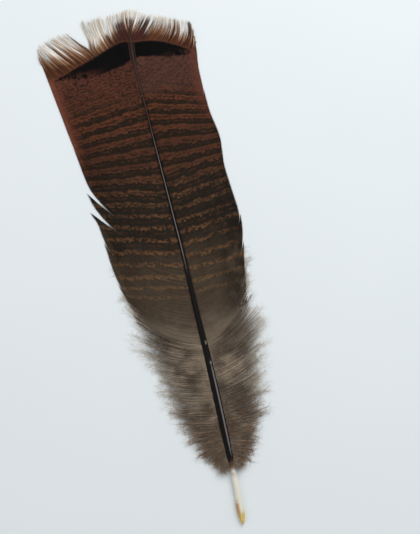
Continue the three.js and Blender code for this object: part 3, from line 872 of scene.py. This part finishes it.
def makeHairs(name, middle, bare, values, strand, seed):
    # Fine hairs leave each down barb on both sides and curl a little; bare is the share of it that has none.
    random = np.random.default_rng(seed)
    count, rows = middle.shape[:2]
    number = values["hairs"]
    at = (np.arange(number) + random.uniform(0, 1, (count, number))) / number * 0.95 + 0.04
    at = bare[:, None] + (1 - bare[:, None]) * at
    step = at * (rows - 1)
    i = np.minimum(step.astype(int), rows - 2)
    t = (step - i)[..., None]
    line = np.arange(count)[:, None]
    root = middle[line, i] * (1 - t) + middle[line, i + 1] * t
    way = middle[line, i + 1] - middle[line, i]
    way /= np.linalg.norm(way, axis=-1, keepdims=True)
    flank = np.where(np.arange(number) % 2 == 0, 1, -1)[None, :, None]
    side = np.concatenate([turned(way) * flank, 0 * t], -1)
    angle = random.normal(values["hairAngle"], values["hairSwing"], (count, number)) * (1.0 + 0.1 * at)
    angle = np.radians(angle)[..., None]
    long = values["hairLong"] * random.uniform(0.45, 1.3, (count, number)) * (0.7 + 0.5 * at ** 3)
    curl = random.normal(0, 0.6, (count, number))[..., None]
    lift = random.normal(0.1, 0.22, (count, number))
    points = values["hairSteps"] + 1
    share = np.linspace(0, 1, points)[None, None, :, None]
    first = np.cos(angle) * way + np.sin(angle) * side
    bent = np.cos(angle + curl) * way + np.sin(angle + curl) * side
    heading = first[:, :, None] * (1 - share / 2) + bent[:, :, None] * share / 2
    track = root[:, :, None] + long[..., None, None] * share * heading
    track[..., 2] += (long * lift)[..., None] * share[..., 0]
    top = np.where(bare > 0.3, values["upperTop"], np.inf)[:, None, None]
    track[..., 2] = np.clip(track[..., 2], values["lowest"] / 2, top)
    track = track.reshape(count * number, points, 3)
    thick = values["hairThick"] * (1.1 - 0.5 * at.reshape(-1, 1, 1))
    across = np.concatenate([turned(unitWay(track)), 0 * track[..., :1]], -1) * thick
    up = np.zeros_like(track)
    up[..., 2] = thick[..., 0]
    hairs, places, row, shape = layCopies(name, strand, track, across, up, -up)
    hairs.data.shade_smooth()
    tint = np.repeat(random.uniform(0, 1, (count, 1)), number, 1).reshape(-1, 1)
    markDown(hairs, places, np.repeat(at.reshape(-1, 1), places.shape[1], 1), tint, 1)
    return hairs


def downMaterial(colours):
    material, tree, shader = newMaterial("softDown", 0.8, 0.08)
    paint = fromBytes(colours)
    away, y, share = readMarks(tree, "spot")
    tint, hair = readMarks(tree, "barb")[:2]
    place = inMillimetres(tree)
    broad = noise(tree, place, 0.14, 2, 0.5)
    patches = addScaled(tree, ramp(tree, away, 1, 6), -0.07, broad)
    colour = mixColours(tree, ramp(tree, patches, 0.32, 0.66), paint["shade"], paint["light"])
    colour = mixColours(tree, ramp(tree, tint, 0.3, 1, 0.0, 0.34), colour, paint["barb"])
    # Painted shade in the down just right of the shaft, low down
    beside = product(tree, between(tree, away, 1.0, 1.6, 2.6, 5.0), between(tree, y, 26, 34, 50, 62))
    colour = layOver(tree, colour, beside, 0.55, paint["shadeBesideShaft"])
    towardsVane = addScaled(tree, broad, 10.0, y)
    colour = mixColours(tree, ramp(tree, towardsVane, 68, 80, 0.0, 0.75), colour, paint["nearVane"])
    rusty = product(tree, ramp(tree, y, 50, 33), ramp(tree, noise(tree, place, 0.3, 2), 0.36, 0.56))
    rust = mixColours(tree, tint, paint["rust"], paint["rustLight"])
    colour = layOver(tree, colour, rusty, 0.7, rust)
    tip = mixColours(tree, ramp(tree, y, 50, 36), paint["tip"], paint["brownTip"])
    colour = mixColours(tree, ramp(tree, share, 0.6, 0.95, 0.0, 0.9), colour, tip)
    colour = layOver(tree, colour, hair, 0.18, paint["hair"])
    tree.links.new(colour, shader.inputs["Base Color"])
    addBump(tree, shader, noise(tree, place, 4.0, 2), 0.3, 0.03)
    return material


downStrand = modelStrand(downValues["steps"], sides=4)
hairStrand = modelStrand(downValues["hairSteps"], sides=3)
downFinish = downMaterial(downColours)


def layDown(name, table, side, values, hairSeed):
    down, middle, bare = makeDown(name, table, side, values, downStrand)
    finishPiece(down, downFinish)
    hairs = makeHairs(name + "Hairs", middle, bare, values, hairStrand, hairSeed + side)
    finishPiece(hairs, downFinish)


layDown("leftDown", leftBarbs, -1, downValues, 40)
layDown("rightDown", rightBarbs, 1, downValues, 40)
print("down made")

# Wisps: long loose down barbs that stray past the rest
wispValues = dict(downValues, pitch=0.9, half=0.06, tipVaries=1.8, overlap=0.0, loft=1.2, hairs=70,
                  hairLong=1.6, hairThick=0.02, shortest=0.9, hairyUpper=1.0)
wispLines = {
    "leftWisps": (-1, [[38, -17.0, 38.0, 84, 84], [48, -20.5, 50.0, 84, 76], [56, -22.5, 61.5, 82, 70],
                       [60, -25.0, 69.0, 82, 84], [63, -29.5, 73.6, 80, 88], [65, -27.0, 79.0, 80, 50],
                       [69, -26.0, 87.0, 80, 36]]),
    "rightWisps": (1, [[38, 18.5, 38.5, 84, 84], [48, 21.5, 50.0, 84, 76], [56, 23.5, 61.5, 82, 70],
                       [63, 24.5, 75.0, 82, 56], [69, 22.0, 87.0, 80, 32]]),
}

for name, (side, table) in wispLines.items():
    reach = {"from": table[0][0], "to": table[-1][0]}
    layDown(name, table, side, wispValues | reach, 60)
print("wisps made")

for strand in (vaneStrand, downStrand, hairStrand):
    bpy.data.objects.remove(strand)

triangles = {o.name: sum(len(f.vertices) - 2 for f in o.data.polygons) for o in bpy.data.objects
             if o.type == "MESH" and not o.hide_render}
print("triangles", triangles, sum(triangles.values()))
